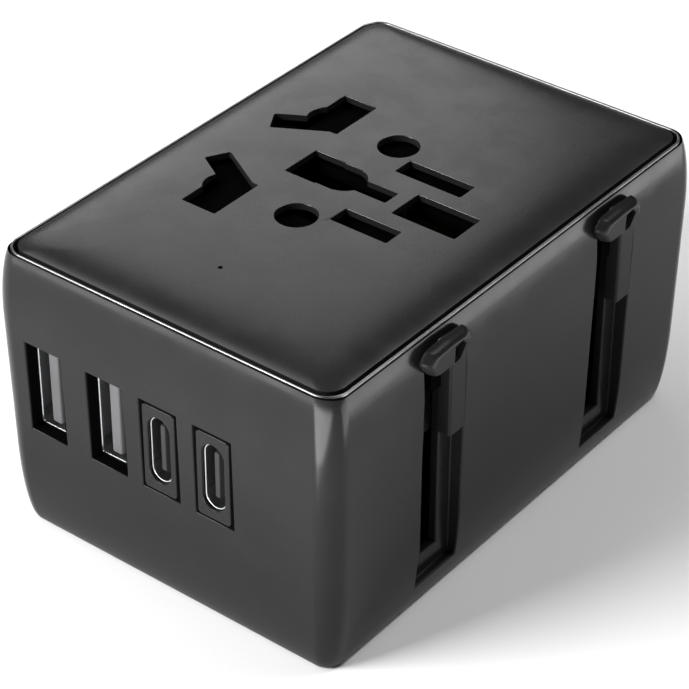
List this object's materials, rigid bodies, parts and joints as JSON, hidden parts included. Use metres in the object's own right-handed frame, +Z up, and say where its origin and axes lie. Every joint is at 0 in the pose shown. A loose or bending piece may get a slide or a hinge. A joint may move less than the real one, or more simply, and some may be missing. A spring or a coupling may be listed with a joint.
{
  "type": "universal travel adapter",
  "caption": "Rounded black block with a multi-standard socket on top, USB ports on one end and thumb sliders that push folding-out plug pins through the base.",
  "frame": {"origin": "centre of the underside at the level it stands on", "axes": "+Z up out of the socket panel, +Y along the long side away from the USB ports, +X towards the side with two sliders"},
  "size_m": [0.0524, 0.0702, 0.0383],
  "materials": {
    "shell_black": "satin moulded black",
    "panel_black": "smooth satin-gloss charcoal",
    "trim_bright": "satin bright ring",
    "button_black": "satin moulded black",
    "carriage_black": "matt moulded black",
    "shutter_black": "matt black",
    "tongue_grey": "light grey moulding",
    "brass": "drawn brass",
    "plug_nickel": "nickel plate",
    "steel": "plated sheet",
    "board_green": "solder mask",
    "ferrite": "sintered dark grey",
    "winding_tape": "yellow polyester tape",
    "capacitor_sleeve": "dark blue sleeve",
    "fuse_ceramic": "glazed ceramic",
    "light_pipe": "clear moulding"
  },
  "bodies": {
    "casing": {"main_housing": "shell_black", "bottom_cover": "shell_black", "usb_c_bezel_1": "shell_black", "usb_c_bezel_2": "shell_black", "top_socket_panel": "panel_black", "trim_ring": "trim_bright", "contact_carrier": "carriage_black", "usb_a_tongue_1": "tongue_grey", "usb_a_tongue_2": "tongue_grey", "usb_c_tongue_1": "tongue_grey", "usb_c_tongue_2": "tongue_grey", "live_contact": "brass", "neutral_contact": "brass", "earth_contact": "brass", "usb_a_shell_1": "steel", "usb_a_shell_2": "steel", "usb_c_shell_1": "steel", "usb_c_shell_2": "steel", "shutter_spring": "steel", "cover_screw_1": "steel", "cover_screw_2": "steel", "cover_screw_3": "steel", "cover_screw_4": "steel", "fuse_cap_1": "steel", "fuse_cap_2": "steel", "usb_board": "board_green", "charger_board": "board_green", "transformer_core": "ferrite", "line_inductor": "ferrite", "output_choke": "ferrite", "transformer_winding": "winding_tape", "output_capacitor_1": "capacitor_sleeve", "output_capacitor_2": "capacitor_sleeve", "input_capacitor": "capacitor_sleeve", "fuse_body": "fuse_ceramic", "led_light_pipe": "light_pipe"},
    "eu_plug": {"eu_slider": "button_black", "eu_carriage": "carriage_black", "eu_pin_1": "plug_nickel", "eu_pin_2": "plug_nickel"},
    "uk_plug": {"uk_slider": "button_black", "uk_carriage": "carriage_black", "uk_live_pin": "brass", "uk_neutral_pin": "brass", "uk_earth_pin": "brass"},
    "us_au_plug": {"us_au_slider": "button_black", "us_au_carriage": "carriage_black"},
    "blade_1": {"us_au_blade_1": "plug_nickel"},
    "blade_2": {"us_au_blade_2": "plug_nickel"},
    "shutter": {"safety_shutter": "shutter_black"}
  },
  "joints": [
    {"name": "eu_plug_slide", "type": "slide", "parent": "casing", "child": "eu_plug", "axis": [0, 0, -1], "range_m": [0, 0.0185]},
    {"name": "uk_plug_slide", "type": "slide", "parent": "casing", "child": "uk_plug", "axis": [0, 0, -1], "range_m": [0, 0.0185]},
    {"name": "us_au_plug_slide", "type": "slide", "parent": "casing", "child": "us_au_plug", "axis": [0, 0, -1], "range_m": [0, 0.0185]},
    {"name": "blade_1_turn", "type": "hinge", "parent": "us_au_plug", "child": "blade_1", "pos_m": [-0.00635, -0.0026, 0.0108], "axis": [0, 0, 1], "range_deg": [0, 30]},
    {"name": "blade_2_turn", "type": "hinge", "parent": "us_au_plug", "child": "blade_2", "pos_m": [0.00635, -0.0026, 0.0108], "axis": [0, 0, 1], "range_deg": [-30, 0]},
    {"name": "shutter_slide", "type": "slide", "parent": "casing", "child": "shutter", "axis": [1, 0, 0], "range_m": [0, 0.005], "stiffness_N_per_m": 60, "springref_m": -0.003, "deforming": ["shutter_spring"]}
  ]
}
